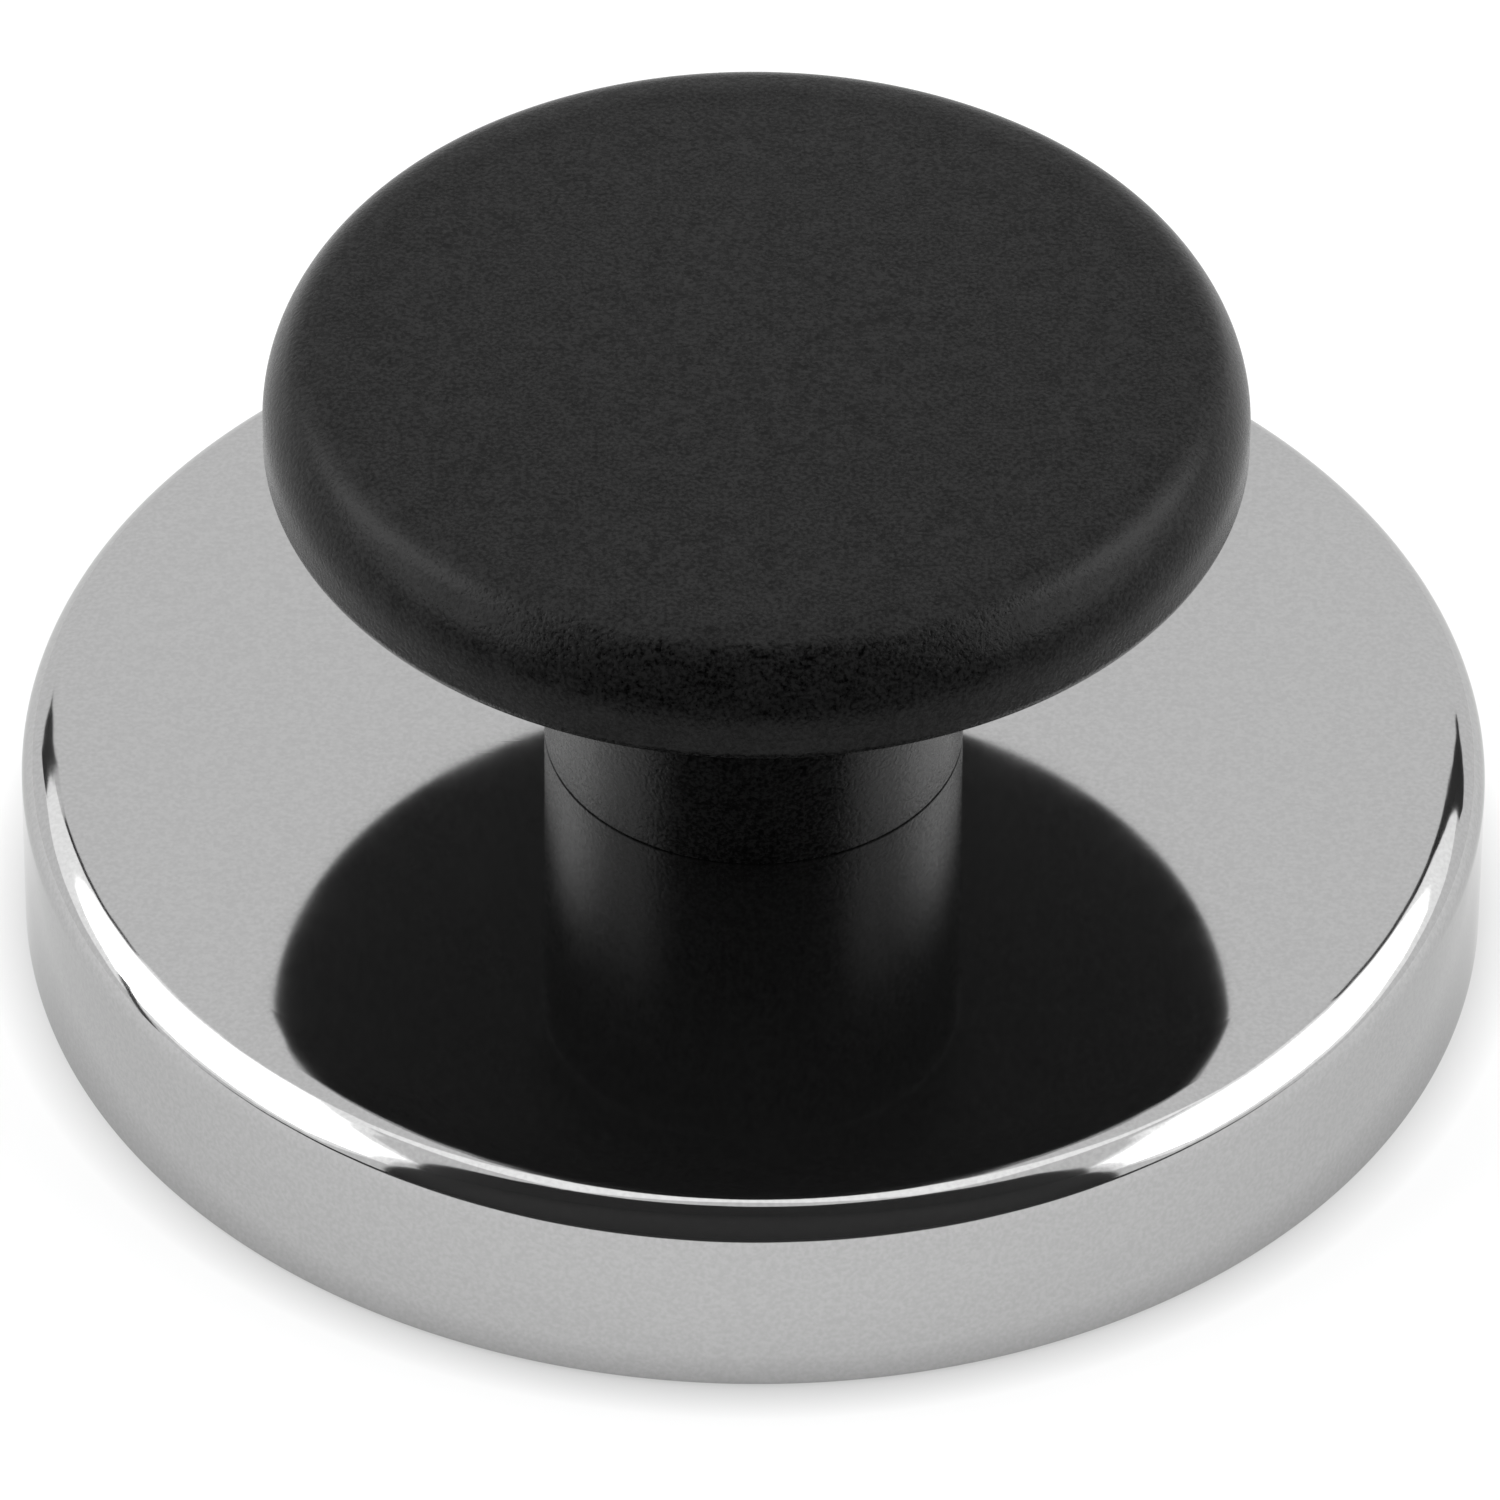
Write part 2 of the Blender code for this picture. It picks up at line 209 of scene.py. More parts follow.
def ring_profile(inner, outer, low, high, edge):
    """A rectangular ring section with four rounded corners, outer side down, closed."""
    quarter = math.pi / 2
    step = SMALL_ARC_STEP
    top = arc((outer - edge, high - edge), edge, quarter, 0.0, step)
    bottom = arc((outer - edge, low + edge), edge, 0.0, -quarter, step)
    inner_bottom = arc((inner + edge, low + edge), edge, -quarter, -2 * quarter, step)
    inner_top = arc((inner + edge, high - edge), edge, 2 * quarter, quarter, step)
    return top + bottom + inner_bottom + inner_top


def turned(name, profile, steps, closed):
    """A solid of revolution about +Z from points (r, z) that run down its outer side."""
    mesh = bpy.data.meshes.new(name)
    count = len(profile)
    edges = [(i, i + 1) for i in range(count - 1)]
    if closed:
        edges.append((count - 1, 0))
    mesh.from_pydata([(r, 0.0, z) for r, z in profile], edges, [])
    obj = bpy.data.objects.new(name, mesh)
    bpy.context.scene.collection.objects.link(obj)
    screw = obj.modifiers.new("Screw", "SCREW")
    screw.axis = "Z"
    screw.steps = steps
    screw.render_steps = steps
    screw.use_merge_vertices = True
    screw.merge_threshold = MERGE
    return applied(obj)


def applied(obj):
    """Gives the object its evaluated mesh and takes its modifiers off."""
    bpy.context.view_layer.update()
    graph = bpy.context.evaluated_depsgraph_get()
    mesh = bpy.data.meshes.new_from_object(obj.evaluated_get(graph))
    obj.modifiers.clear()
    obj.data = mesh
    return obj


def finished(obj, material, body, node):
    """Shades the piece, gives it its material, and puts it on its body in place of its CAD node."""
    shape = bmesh.new()
    shape.from_mesh(obj.data)
    bmesh.ops.remove_doubles(shape, verts=shape.verts, dist=MERGE)
    shape.to_mesh(obj.data)
    shape.free()
    obj.data.materials.clear()
    obj.data.materials.append(material)
    obj.data.shade_smooth()
    obj.data.set_sharp_from_angle(angle=SHARP_ANGLE)
    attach(obj, body)
    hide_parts(node)
    return obj


def blade(name, size, taper, location, rotation):
    """A box cutter whose upper end is narrowed by taper."""
    mesh = bpy.data.meshes.new(name)
    shape = bmesh.new()
    bmesh.ops.create_cube(shape, size=1.0)
    for vertex in shape.verts:
        share = taper if vertex.co.z > 0 else 1.0
        vertex.co.x *= size[0] * share
        vertex.co.y *= size[1] * share
        vertex.co.z *= size[2]
    shape.to_mesh(mesh)
    shape.free()
    cutter = bpy.data.objects.new(name, mesh)
    cutter.location = location
    cutter.rotation_euler = rotation
    bpy.context.scene.collection.objects.link(cutter)
    return cutter


def cut(obj, *cutters):
    for cutter in cutters:
        boolean = obj.modifiers.new(cutter.name, "BOOLEAN")
        boolean.operation = "DIFFERENCE"
        boolean.solver = "EXACT"
        boolean.object = cutter
    applied(obj)
    for cutter in cutters:
        bpy.data.objects.remove(cutter, do_unlink=True)
    return obj


def polar(vertex):
    """(radius, turn from 0 to 1) of a vertex about +Z."""
    turn = math.atan2(vertex.co.y, vertex.co.x) / math.tau
    return math.hypot(vertex.co.x, vertex.co.y), turn % 1.0


def pull_in(vertex, depth):
    """Moves a vertex towards the axis."""
    radius = math.hypot(vertex.co.x, vertex.co.y)
    vertex.co.x *= (radius - depth) / radius
    vertex.co.y *= (radius - depth) / radius


def rolled_edge(outer_radius, height, arcs):
    """From a little inside the edge of a flat, over the arcs, to where the side is upright."""
    starts = [0.0] + [end for _, end, _ in arcs[:-1]]
    r = outer_radius - sum(
        radius * (math.sin(end) - math.sin(start)) for start, (radius, end, _) in zip(starts, arcs)
    )
    z = height
    points = [(r - GUARD, z), (r, z)]
    for start, (radius, end, step) in zip(starts, arcs):
        centre = (r - radius * math.sin(start), z - radius * math.cos(start))
        points += arc(centre, radius, math.pi / 2 - start, math.pi / 2 - end, step)[1:]
        r, z = points[-1]
    return points


def make_cup(material):
    """The drawn cup: flat plate, rolled edge, upright wall, rounded lip and its inside."""
    low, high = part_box("cup")
    edge = rolled_edge(high.x, high.z, CUP_EDGE_ARCS)
    lip_centre = (high.x - CUP_LIP_RADIUS, low.z + CUP_LIP_RADIUS)
    wall = [(high.x, edge[-1][1] - GUARD), (high.x, lip_centre[1] + GUARD)]
    lip = arc(lip_centre, CUP_LIP_RADIUS, 0.0, -math.pi / 2, LIP_ARC_STEP)
    bore = high.x - CUP_GAUGE
    ceiling = high.z - CUP_GAUGE
    corner = (bore - CUP_INNER_RADIUS, ceiling - CUP_INNER_RADIUS)
    inside = arc(corner, CUP_INNER_RADIUS, 0.0, math.pi / 2, LIP_ARC_STEP)
    hole = [
        (CUP_HOLE_RADIUS + METAL_EDGE, ceiling),
        (CUP_HOLE_RADIUS, ceiling + METAL_EDGE),
        (CUP_HOLE_RADIUS, high.z - METAL_EDGE),
        (CUP_HOLE_RADIUS + METAL_EDGE, high.z),
    ]
    profile = edge + wall + lip + [(bore, low.z)] + inside + hole
    cup = turned("plated_cup", profile, FINE_STEPS, True)
    return finished(cup, material, "base", "cup")


def make_knob(material):
    """The one-piece moulding: domed head with rounded edges, straight neck and insert pocket."""
    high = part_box("knob")[1]
    insert_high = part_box("knob_insert")[1]
    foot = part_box("cup")[1].z + NECK_CONTACT
    edge = rolled_edge(high.x, high.z - HEAD_DOME, HEAD_EDGE_ARCS)[1:]
    dome = []
    for ring in range(DOME_RINGS):
        share = ring / DOME_RINGS
        dome.append((edge[0][0] * share, high.z - HEAD_DOME * share**2))
    quarter = math.pi / 2
    lower_centre = (high.x - HEAD_LOWER_EDGE, HEAD_UNDERSIDE + HEAD_LOWER_EDGE)
    lower_edge = arc(lower_centre, HEAD_LOWER_EDGE, 0.0, -quarter, 2 * ARC_STEP)
    fillet_centre = (NECK_RADIUS + NECK_FILLET, HEAD_UNDERSIDE - NECK_FILLET)
    fillet = arc(fillet_centre, NECK_FILLET, quarter, 2 * quarter, 2 * ARC_STEP)
    foot_centre = (NECK_RADIUS - NECK_FOOT_EDGE, foot + NECK_FOOT_EDGE)
    foot_edge = arc(foot_centre, NECK_FOOT_EDGE, 0.0, -quarter, SMALL_ARC_STEP)
    pocket_radius = insert_high.x + SEAM
    pocket_top = insert_high.z + SEAM
    pocket = [
        (pocket_radius + METAL_EDGE, foot),
        (pocket_radius, foot + METAL_EDGE),
        (pocket_radius, pocket_top),
        (INSERT_BORE_RADIUS, pocket_top),
        (INSERT_BORE_RADIUS, pocket_top + TIP_ROOM),
        (0.0, pocket_top + TIP_ROOM),
    ]
    profile = dome + edge + lower_edge + fillet + foot_edge + pocket
    knob = turned("moulded_knob", profile, FINE_STEPS, False)
    return finished(knob, material, "knob", "knob")


def make_insert(material):
    """The brass bush: two knurled bands, a retaining groove and an internal thread."""
    low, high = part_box("knob_insert")
    middle = (low.z + high.z) / 2
    outer = high.x
    groove = outer - 2 * KNURL_DEPTH
    upper_band = [(outer, z) for z in (high.z - INSERT_EDGE, middle + KNURL_GROOVE / 2)]
    lower_band = [(outer, z) for z in (middle - KNURL_GROOVE / 2, low.z + INSERT_EDGE)]
    band = [(groove, middle + KNURL_GROOVE / 2), (groove, middle - KNURL_GROOVE / 2)]
    rings = round((high.z - low.z) / THREAD_PITCH) * RINGS_PER_PITCH
    depth = high.z - low.z - 2 * INSERT_EDGE
    bore = [
        (INSERT_BORE_RADIUS, low.z + INSERT_EDGE + depth * i / rings) for i in range(rings + 1)
    ]
    profile = [(outer - INSERT_EDGE, high.z)] + upper_band + band + lower_band
    profile += [(outer - INSERT_EDGE, low.z), (INSERT_BORE_RADIUS + INSERT_EDGE, low.z)] + bore
    profile += [(INSERT_BORE_RADIUS + INSERT_EDGE, high.z)]
    insert = turned("brass_insert", profile, 2 * KNURL_TEETH, True)
    for vertex in insert.data.vertices:
        radius, turn = polar(vertex)
        if radius > outer - KNURL_DEPTH / 2:
            if round(turn * 2 * KNURL_TEETH) % 2:
                pull_in(vertex, KNURL_DEPTH)
        elif abs(radius - INSERT_BORE_RADIUS) < MERGE:
            height = vertex.co.z - low.z
            pull_in(vertex, -THREAD_DEPTH / 2 * thread_share(turn, height))
    return finished(insert, material, "insert", "knob_insert")


def thread_share(turn, height):
    """How deep a right-hand thread is at this place: 0 on the crest and 1 at the root."""
    phase = (height / THREAD_PITCH - turn) % 1.0
    ramp = 1.0 - abs(2.0 * phase - 1.0)
    return min(1.0, max(0.0, (ramp - THREAD_FLAT) / (1.0 - 2 * THREAD_FLAT)))


def make_screw(material):
    """The pan-head clamp screw with its rolled thread, tapered point and cross recess."""
    low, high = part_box("clamp_screw")
    seat = low.z + SCREW_HEAD_HEIGHT
    head_radius = high.x
    top = high.z - SCREW_POINT
    rings = round((top - seat) / THREAD_PITCH * RINGS_PER_PITCH)
    shank = [(THREAD_RADIUS, top + (seat - top) * i / rings) for i in range(rings + 1)]
    head_centre = (head_radius - SCREW_HEAD_EDGE, low.z + SCREW_HEAD_EDGE)
    head_edge = arc(head_centre, SCREW_HEAD_EDGE, 0.0, -math.pi / 2, SCREW_ARC_STEP)
    root_radius = THREAD_RADIUS - THREAD_DEPTH
    profile = [(0.0, high.z), (root_radius - METAL_EDGE, high.z)] + shank
    profile += [(head_radius - METAL_EDGE, seat), (head_radius, seat - METAL_EDGE)]
    profile += head_edge + [(0.0, low.z)]
    screw = turned("zinc_screw", profile, THREAD_STEPS, False)
    for vertex in screw.data.vertices:
        radius, turn = polar(vertex)
        height = vertex.co.z - seat
        if abs(radius - THREAD_RADIUS) < MERGE and height > MERGE:
            run_in = min(1.0, height / THREAD_PITCH)
            pull_in(vertex, THREAD_DEPTH * thread_share(turn, height) * run_in)
    size = (RECESS_SPAN, RECESS_WIDTH, 2 * RECESS_DEPTH)
    bottom = (0.0, 0.0, low.z)
    blades = [
        blade(f"recess_{i}", size, RECESS_TAPER, bottom, (0.0, 0.0, math.pi / 2 * i)) for i in range(2)
    ]
    cut(screw, *blades)
    return finished(screw, material, "base", "clamp_screw")


def make_flat_washer(material):
    low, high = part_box("flat_washer")
    profile = ring_profile(WASHER_HOLE_RADIUS, high.x, low.z, high.z, METAL_EDGE)
    washer = turned("zinc_flat_washer", profile, SMALL_STEPS, True)
    return finished(washer, material, "base", "flat_washer")


def make_lock_washer(material):
    low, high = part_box("lock_washer")
    profile = ring_profile(WASHER_HOLE_RADIUS, high.x, low.z, high.z, METAL_EDGE)
    washer = turned("split_lock_washer", profile, SMALL_STEPS, True)
    size = (high.x, WASHER_SPLIT, 4 * (high.z - low.z))
    middle = (high.x * WASHER_SPLIT_MIDDLE, 0.0, (low.z + high.z) / 2)
    cut(washer, blade("washer_split", size, 1.0, middle, (WASHER_SLANT, 0.0, 0.0)))
    return finished(washer, material, "base", "lock_washer")


def make_magnet(material):
    """The sintered ring, with broken edges whose width wanders a little, as ground ferrite has."""
    low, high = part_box("ring_magnet")
    profile = ring_profile(MAGNET_HOLE_RADIUS, high.x, low.z, high.z, MAGNET_EDGE)
    magnet = turned("ferrite_ring", profile, FINE_STEPS, True)
    for vertex in magnet.data.vertices:
        radius, turn = polar(vertex)
        at_face = vertex.co.z < low.z + MAGNET_EDGE - MERGE
        outer_edge = radius > high.x - MAGNET_EDGE + MERGE
        inner_edge = radius < MAGNET_HOLE_RADIUS + MAGNET_EDGE - MERGE
        if at_face and (outer_edge or inner_edge):
            waves = sum(math.sin(math.tau * turn * n + CHIP_PHASE * n) for n in CHIP_WAVES)
            vertex.co.z += CHIP_DEPTH * max(0.0, waves / len(CHIP_WAVES))
    return finished(magnet, material, "base", "ring_magnet")


def make_potting(material):
    """Resin poured between the magnet and the wall: its face dips between the edges it wets."""
    low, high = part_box("potting_ring")
    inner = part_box("ring_magnet")[1].x + SEAM
    outer = high.x
    face = []
    for i in range(MENISCUS_STEPS + 1):
        share = i / MENISCUS_STEPS
        dip = MENISCUS * (1 - (2 * share - 1) ** 2)
        face.append((outer + (inner - outer) * share, low.z + dip))
    profile = [(inner, high.z), (outer, high.z)] + face
    potting = turned("potting_resin_ring", profile, FINE_STEPS, True)
    return finished(potting, material, "base", "potting_ring")


# ---------------------------------------------------------------- materials


class Nodes:
    """A material's node tree, with short ways to add nodes and link them."""

    def __init__(self, name, colour, roughness, metallic):
        self.material = bpy.data.materials.new(name)
        self.material.use_nodes = True
        self.material.diffuse_color = (*colour, 1.0)
        self.tree = self.material.node_tree
        self.shader = self.tree.nodes["Principled BSDF"]
        self.shader.inputs["Base Color"].default_value = (*colour, 1.0)
        self.shader.inputs["Roughness"].default_value = roughness
        self.shader.inputs["Metallic"].default_value = metallic
        coordinates = self.tree.nodes.new("ShaderNodeTexCoord")
        self.place = coordinates.outputs["Object"]

    def link(self, source, target):
        self.tree.links.new(source, target)

    def stretched(self, scale):
        """Object coordinates scaled differently along each axis."""
        mapping = self.tree.nodes.new("ShaderNodeMapping")
        mapping.inputs["Scale"].default_value = scale
        self.link(self.place, mapping.inputs["Vector"])
        return mapping.outputs["Vector"]

    def noise(self, feature, detail=2.0, roughness=0.5, place=None):
        """Noise with features of this size in metres."""
        node = self.tree.nodes.new("ShaderNodeTexNoise")
        node.inputs["Scale"].default_value = 1.0 / feature
        node.inputs["Detail"].default_value = detail
        node.inputs["Roughness"].default_value = roughness
        self.link(place or self.place, node.inputs["Vector"])
        return node.outputs["Fac"]

    def ranged(self, value, low, high, to_low, to_high):
        """Maps value from low..high to to_low..to_high, clamped."""
        node = self.tree.nodes.new("ShaderNodeMapRange")
        self.link(value, node.inputs["Value"])
        node.inputs["From Min"].default_value = low
        node.inputs["From Max"].default_value = high
        node.inputs["To Min"].default_value = to_low
        node.inputs["To Max"].default_value = to_high
        return node.outputs["Result"]

    def maths(self, operation, first, second):
        node = self.tree.nodes.new("ShaderNodeMath")
        node.operation = operation
        for socket, value in zip(node.inputs, (first, second)):
            if isinstance(value, (int, float)):
                socket.default_value = value
            else:
                self.link(value, socket)
        return node.outputs["Value"]

    def between(self, value, first, second):
        """A colour from first to second as value goes from 0 to 1."""
        node = self.tree.nodes.new("ShaderNodeValToRGB")
        self.link(value, node.inputs["Fac"])
        node.color_ramp.elements[0].color = (*first, 1.0)
        node.color_ramp.elements[1].color = (*second, 1.0)
        return node.outputs["Color"]

    def radius(self):
        """The distance from the object's Z axis."""
        split = self.tree.nodes.new("ShaderNodeSeparateXYZ")
        self.link(self.place, split.inputs["Vector"])
        squares = [self.maths("MULTIPLY", split.outputs[a], split.outputs[a]) for a in "XY"]
        return self.maths("SQRT", self.maths("ADD", *squares), 0.0)

    def bump(self, height, metres, normal=None):
        """Bump of this depth, on top of an earlier one where it is given."""
        node = self.tree.nodes.new("ShaderNodeBump")
        node.inputs["Distance"].default_value = metres
        self.link(height, node.inputs["Height"])
        if normal is not None:
            self.link(normal, node.inputs["Normal"])
        return node.outputs["Normal"]

    def drive(self, socket, source):
        self.link(source, self.shader.inputs[socket])


def chrome_material():
    """Bright plating on drawn steel: a mirror with faint speckle, haze, orange peel and hairlines."""
    made = Nodes("chrome_plate", (0.44, 0.44, 0.44), 0.06, 0.992)
    made.shader.inputs["Specular Tint"].default_value = CHROME_EDGE_TINT
    speckle = made.ranged(made.noise(0.22 * MM, 2.0), 0.35, 0.65, 0.0, 1.0)
    made.drive("Base Color", made.between(speckle, (0.42,) * 3, (0.46,) * 3))
    haze = made.noise(6 * MM, 3.0, 0.6)
    made.drive("Roughness", made.ranged(haze, 0.35, 0.75, 0.05, 0.08))
    peel = made.bump(made.noise(1.6 * MM, 1.0), 0.00025 * MM)
    hairline = made.noise(0.25 * MM, 1.0, 0.5, made.stretched((0.05, 1.0, 1.0)))
    lines = made.ranged(hairline, 0.68, 0.74, 0.0, 1.0)
    fine = made.bump(lines, 0.0001 * MM, peel)
    on_edge = made.ranged(made.radius(), EDGE_WAVE_START, EDGE_WAVE_FULL, 0.0, 1.0)
    wave = made.maths("MULTIPLY", made.noise(EDGE_WAVE_SIZE, 1.0), on_edge)
    made.drive("Normal", made.bump(wave, EDGE_WAVE_DEPTH, fine))
    return made.material


def plastic_material():
    """Black moulded plastic with a fine spark-eroded grain."""
    made = Nodes("black_plastic", (0.0065, 0.0065, 0.0065), 0.27, 0.0)
    made.shader.inputs["Specular IOR Level"].default_value = 0.1
    grain = made.noise(0.2 * MM, 3.0, 0.6)
    cloud = made.noise(1.3 * MM, 2.0)
    tone = made.maths("ADD", made.maths("MULTIPLY", grain, 0.8), made.maths("MULTIPLY", cloud, 0.2))
    share = made.ranged(tone, 0.35, 0.65, 0.0, 1.0)
    made.drive("Base Color", made.between(share, (0.0003,) * 3, (0.0127,) * 3))
    made.drive("Roughness", made.ranged(grain, 0.3, 0.7, 0.22, 0.32))
    made.drive("Normal", made.bump(grain, 0.032 * MM))
    return made.material


def brass_material():
    made = Nodes("brass", (0.72, 0.53, 0.24), 0.3, 1.0)
    stain = made.noise(1.5 * MM, 3.0)
    made.drive("Base Color", made.between(stain, (0.55, 0.37, 0.15), (0.80, 0.62, 0.30)))
    made.drive("Roughness", made.ranged(stain, 0.3, 0.7, 0.22, 0.42))
    made.drive("Normal", made.bump(made.noise(0.15 * MM), 0.003 * MM))
    return made.material


def zinc_material():
    """Clear zinc plating: a cool grey that clouds a little, with fine tumbling marks."""
    made = Nodes("zinc_steel", (0.62, 0.63, 0.65), 0.3, 1.0)
    cloud = made.noise(2.0 * MM, 4.0, 0.6)
    made.drive("Base Color", made.between(cloud, (0.48, 0.50, 0.54), (0.70, 0.71, 0.72)))
    made.drive("Roughness", made.ranged(cloud, 0.3, 0.7, 0.2, 0.42))
    made.drive("Normal", made.bump(made.noise(0.12 * MM, 3.0), 0.003 * MM))
    return made.material


def spring_steel_material():
    """Oiled spring steel, dark with brown patches."""
    made = Nodes("spring_steel", (0.33, 0.33, 0.34), 0.4, 1.0)
    patch = made.noise(1.2 * MM, 4.0, 0.6)
    made.drive("Base Color", made.between(patch, (0.20, 0.18, 0.17), (0.42, 0.42, 0.43)))
    made.drive("Roughness", made.ranged(patch, 0.3, 0.7, 0.3, 0.5))
    made.drive("Normal", made.bump(made.noise(0.1 * MM, 3.0), 0.004 * MM))
    return made.material


def ferrite_material():
    """Sintered ferrite: charcoal with fine pores and the straight lines of its grinding."""
    made = Nodes("ferrite", (0.055, 0.055, 0.06), 0.55, 0.0)
    grain = made.noise(0.25 * MM, 4.0, 0.65)
    cloud = made.noise(5 * MM, 3.0)
    tone = made.maths("ADD", made.maths("MULTIPLY", grain, 0.6), made.maths("MULTIPLY", cloud, 0.4))
    share = made.ranged(tone, 0.35, 0.65, 0.0, 1.0)
    made.drive("Base Color", made.between(share, (0.03, 0.03, 0.033), (0.085, 0.083, 0.082)))
    lines = made.noise(0.18 * MM, 2.0, 0.5, made.stretched((0.02, 1.0, 1.0)))
    made.drive("Roughness", made.ranged(lines, 0.3, 0.7, 0.42, 0.68))
    pores = made.bump(grain, 0.02 * MM)
    made.drive("Normal", made.bump(lines, 0.004 * MM, pores))
    return made.material


def resin_material():
    """Dark potting resin with a skin gloss and a few small bubbles."""
    made = Nodes("potting_resin", (0.03, 0.032, 0.035), 0.25, 0.0)
    swirl = made.noise(3 * MM, 3.0)
    made.drive("Base Color", made.between(swirl, (0.02, 0.021, 0.024), (0.045, 0.047, 0.05)))
    made.drive("Roughness", made.ranged(swirl, 0.3, 0.7, 0.18, 0.36))
    bubbles = made.ranged(made.noise(0.7 * MM, 0.0), 0.72, 0.8, 0.0, 1.0)
    made.drive("Normal", made.bump(bubbles, 0.08 * MM, made.bump(swirl, 0.1 * MM)))
    return made.material


def glue_material():
    made = Nodes("glue", (0.55, 0.5, 0.38), 0.5, 0.0)
    cloud = made.noise(2 * MM, 3.0)
    made.drive("Base Color", made.between(cloud, (0.48, 0.42, 0.30), (0.60, 0.55, 0.43)))
    made.drive("Roughness", made.ranged(cloud, 0.3, 0.7, 0.4, 0.6))
    made.drive("Normal", made.bump(cloud, 0.05 * MM))
    return made.material


# ---------------------------------------------------------------- studio


def direction(azimuth, elevation):
    """The way to a place in the studio: azimuth 0 is beyond the object and 90 is on its right."""
    turn, lift = math.radians(azimuth), math.radians(elevation)
    return Vector((math.sin(turn) * math.cos(lift), math.cos(turn) * math.cos(lift), math.sin(lift)))


def panel(name, corners, distance, radiance):
    """A board with its corners in these directions. It glows, or is black where radiance is 0."""
    mesh = bpy.data.meshes.new(name)
    points = [direction(azimuth, elevation) * distance for azimuth, elevation in corners]
    points.append(sum(points, Vector()).normalized() * distance)
    count = len(corners)
    mesh.from_pydata(points, [], [(i, (i + 1) % count, count) for i in range(count)])
    made = bpy.data.objects.new(name, mesh)
    mesh.materials.append(board_material(name, radiance))
    made.visible_camera = False
    bpy.context.scene.collection.objects.link(made)
    return made


def board_material(name, radiance):
    made = bpy.data.materials.new(name)
    made.use_nodes = True
    shader = made.node_tree.nodes["Principled BSDF"]
    shader.inputs["Base Color"].default_value = (*BOARD_BLACK, 1.0)
    shader.inputs["Roughness"].default_value = 0.9
    shader.inputs["Specular IOR Level"].default_value = 0.0
    shader.inputs["Emission Color"].default_value = (1.0, 1.0, 1.0, 1.0)
    shader.inputs["Emission Strength"].default_value = radiance
    return made


def make_floor():
    """A pale table that glows a little, as if lit from below, so the object's shadow stays soft; it
    glows less in a ring against the cup's lip, a painted contact shadow.
    """
    mesh = bpy.data.meshes.new("floor")
    shape = bmesh.new()
    bmesh.ops.create_circle(shape, cap_ends=True, segments=FLOOR_STEPS, radius=FLOOR_RADIUS)
    shape.to_mesh(mesh)
    shape.free()
    floor = bpy.data.objects.new("floor", mesh)
    floor.location.z = -FLOOR_GAP
    made = Nodes("pale_floor", FLOOR_COLOUR, 0.9, 0.0)
    shader = made.shader
    shader.inputs["Specular IOR Level"].default_value = 0.0
    shader.inputs["Emission Color"].default_value = (1.0, 1.0, 1.0, 1.0)
    # emission dimmed in a ring at the cup's lip: a painted contact shadow
    glow_with_painted_shadow = made.ranged(made.radius(), *FLOOR_PAINTED_SHADOW_SPAN, FLOOR_PAINTED_SHADOW_GLOW, FLOOR_GLOW)
    made.drive("Emission Strength", glow_with_painted_shadow)
    mesh.materials.append(made.material)
    bpy.context.scene.collection.objects.link(floor)
    return floor


def make_front_card():
    """A dark card that lies on the table towards the camera. Only mirrors see it."""
    mesh = bpy.data.meshes.new("front_card")
    half, near, far, lift = FRONT_CARD
    points = [(-half, -far, lift), (half, -far, lift), (half, -near, lift), (-half, -near, lift)]
    mesh.from_pydata(points, [], [(0, 1, 2, 3)])
    card = bpy.data.objects.new("front_card", mesh)
    mesh.materials.append(board_material("front_card", 0.0))
    card.visible_camera = False
    card.visible_diffuse = False
    card.visible_shadow = False
    bpy.context.scene.collection.objects.link(card)
    return card


def make_world():
    world = bpy.data.worlds.new("studio")
    world.use_nodes = True
    background = world.node_tree.nodes["Background"]
    background.inputs["Color"].default_value = (1.0, 1.0, 1.0, 1.0)
    background.inputs["Strength"].default_value = TENT_RADIANCE
    bpy.context.scene.world = world
    bpy.context.scene.view_settings.view_transform = "Standard"


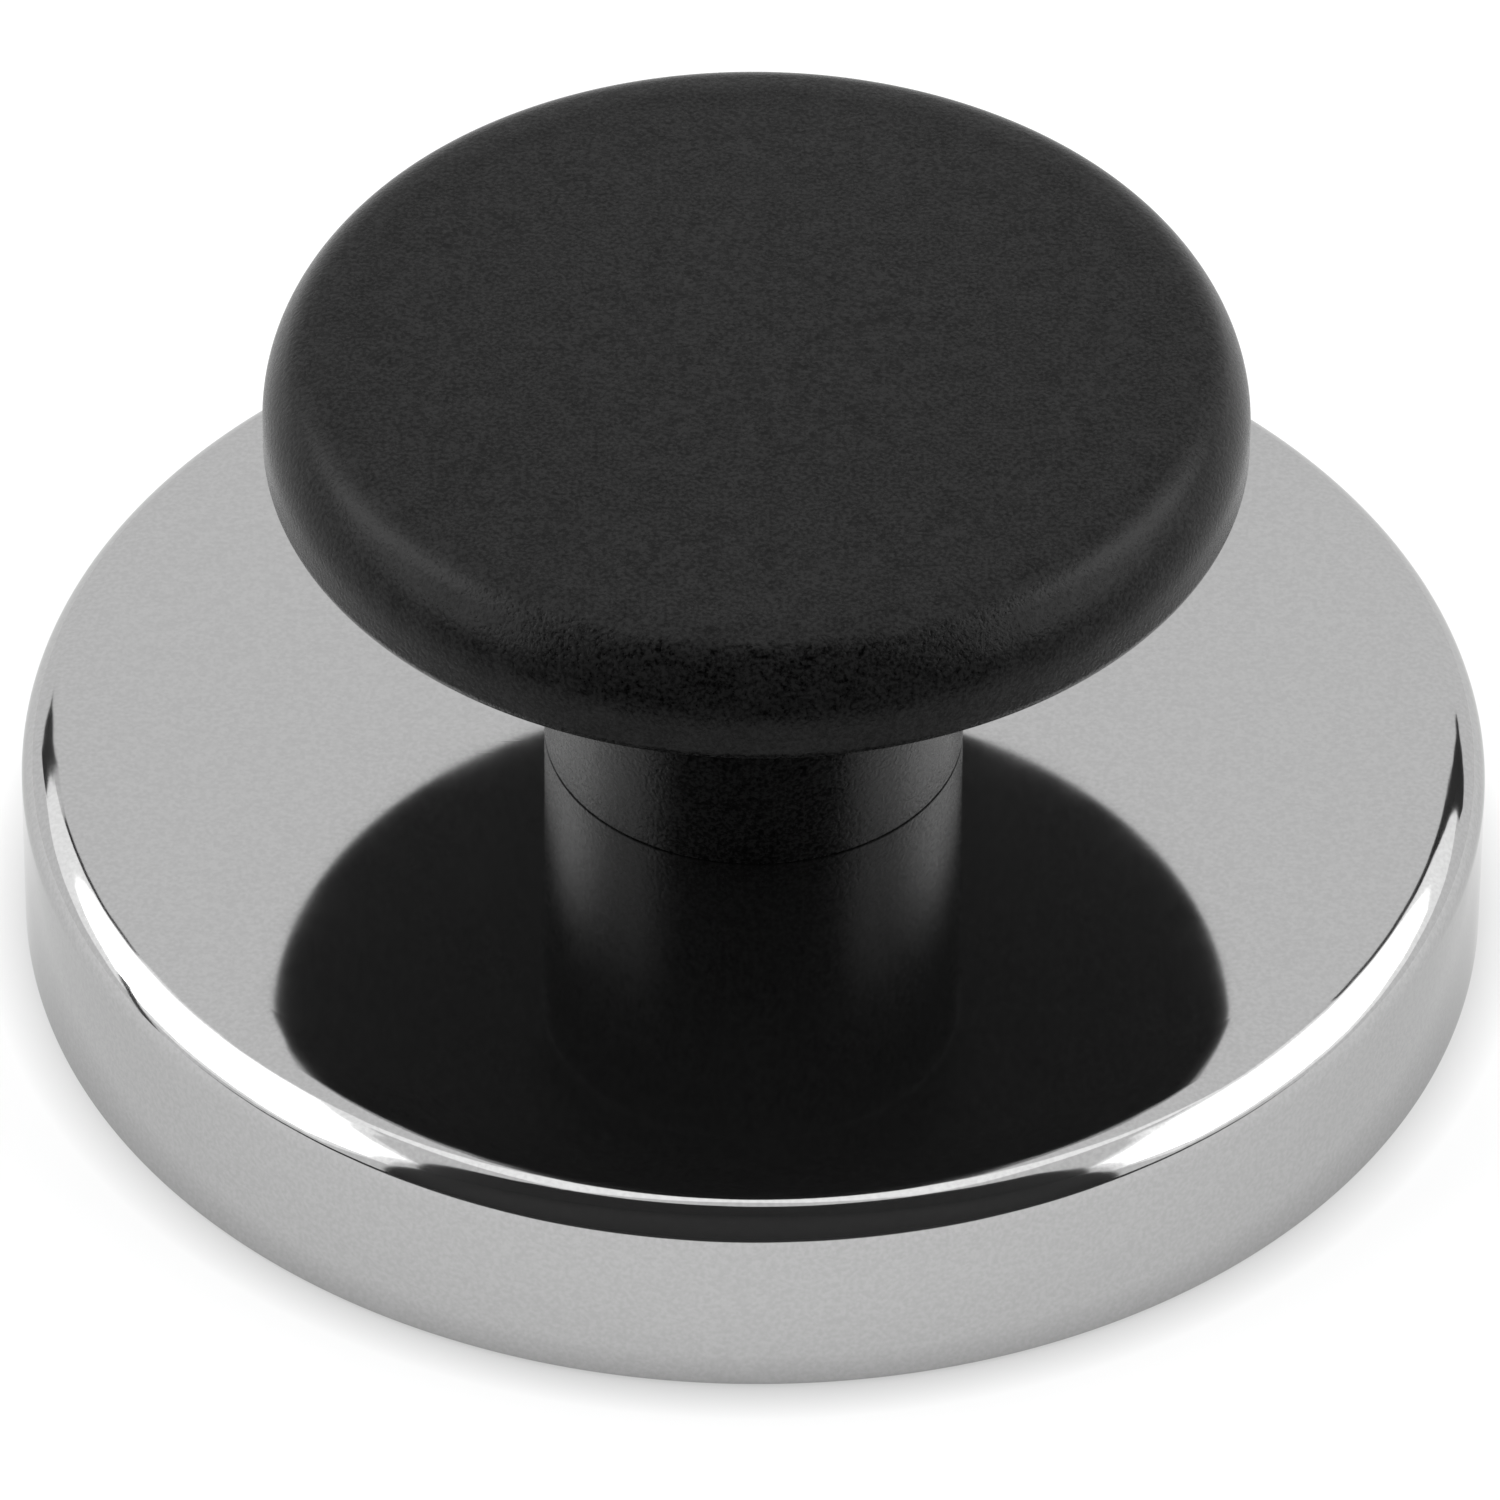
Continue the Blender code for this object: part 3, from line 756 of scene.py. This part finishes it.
def make_studio():
    make_floor()
    make_front_card()
    make_world()
    panel("softbox_right", SOFTBOX_RIGHT, SOFTBOX_DISTANCE, SOFTBOX_RADIANCE)
    panel("softbox_left", SOFTBOX_LEFT, SOFTBOX_DISTANCE, SOFTBOX_RADIANCE)
    panel("side_right", SIDE_RIGHT, SIDE_DISTANCE, SIDE_RADIANCE)
    panel("side_left", SIDE_LEFT, SIDE_DISTANCE, SIDE_RADIANCE)
    panel("spill_right", SPILL_RIGHT, SPILL_DISTANCE, SPILL_RADIANCE)
    panel("spill_left", SPILL_LEFT, SPILL_DISTANCE, SPILL_RADIANCE)
    panel("pole_right", POLE_RIGHT, BOARD_DISTANCE, 0.0)
    panel("pole_left", POLE_LEFT, BOARD_DISTANCE, 0.0)
    panel("frame_right", FRAME_RIGHT, BOARD_DISTANCE, 0.0)
    panel("frame_left", FRAME_LEFT, BOARD_DISTANCE, 0.0)
    panel("stand", STAND, BOARD_DISTANCE, 0.0)
    panel("ceiling", CEILING, CEILING_DISTANCE, CEILING_RADIANCE)
    panel("tent_opening", OPENING, OPENING_DISTANCE, 0.0)


def make_camera():
    """A long lens, looking down at the plate and turned a little about its own axis."""
    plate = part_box("cup")[1].z
    data = bpy.data.cameras.new("camera")
    data.lens = CAMERA_LENS
    data.sensor_width = CAMERA_SENSOR
    data.clip_start, data.clip_end = CAMERA_CLIP
    camera = bpy.data.objects.new("camera", data)
    back = direction(180, math.degrees(CAMERA_ELEVATION))
    turn = back.to_track_quat("Z", "Y").to_matrix().to_4x4()
    spot = Vector((0.0, 0.0, plate)) + back * CAMERA_DISTANCE
    aim = Vector((0.0, 0.0, plate)) + turn.to_3x3() @ Vector((CAMERA_AIM_RIGHT, CAMERA_AIM_UP, 0.0))
    look = (spot - aim).to_track_quat("Z", "Y").to_matrix().to_4x4()
    camera.matrix_world = Matrix.Translation(spot) @ look @ Matrix.Rotation(CAMERA_ROLL, 4, "Z")
    bpy.context.scene.collection.objects.link(camera)
    bpy.context.scene.camera = camera


def main():
    make_camera()
    make_studio()
    zinc = zinc_material()
    make_cup(chrome_material())
    make_knob(plastic_material())
    make_insert(brass_material())
    make_screw(zinc)
    make_flat_washer(zinc)
    make_lock_washer(spring_steel_material())
    make_magnet(ferrite_material())
    make_potting(resin_material())
    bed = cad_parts["adhesive_bed"]
    bed.data.materials.clear()
    bed.data.materials.append(glue_material())


main()
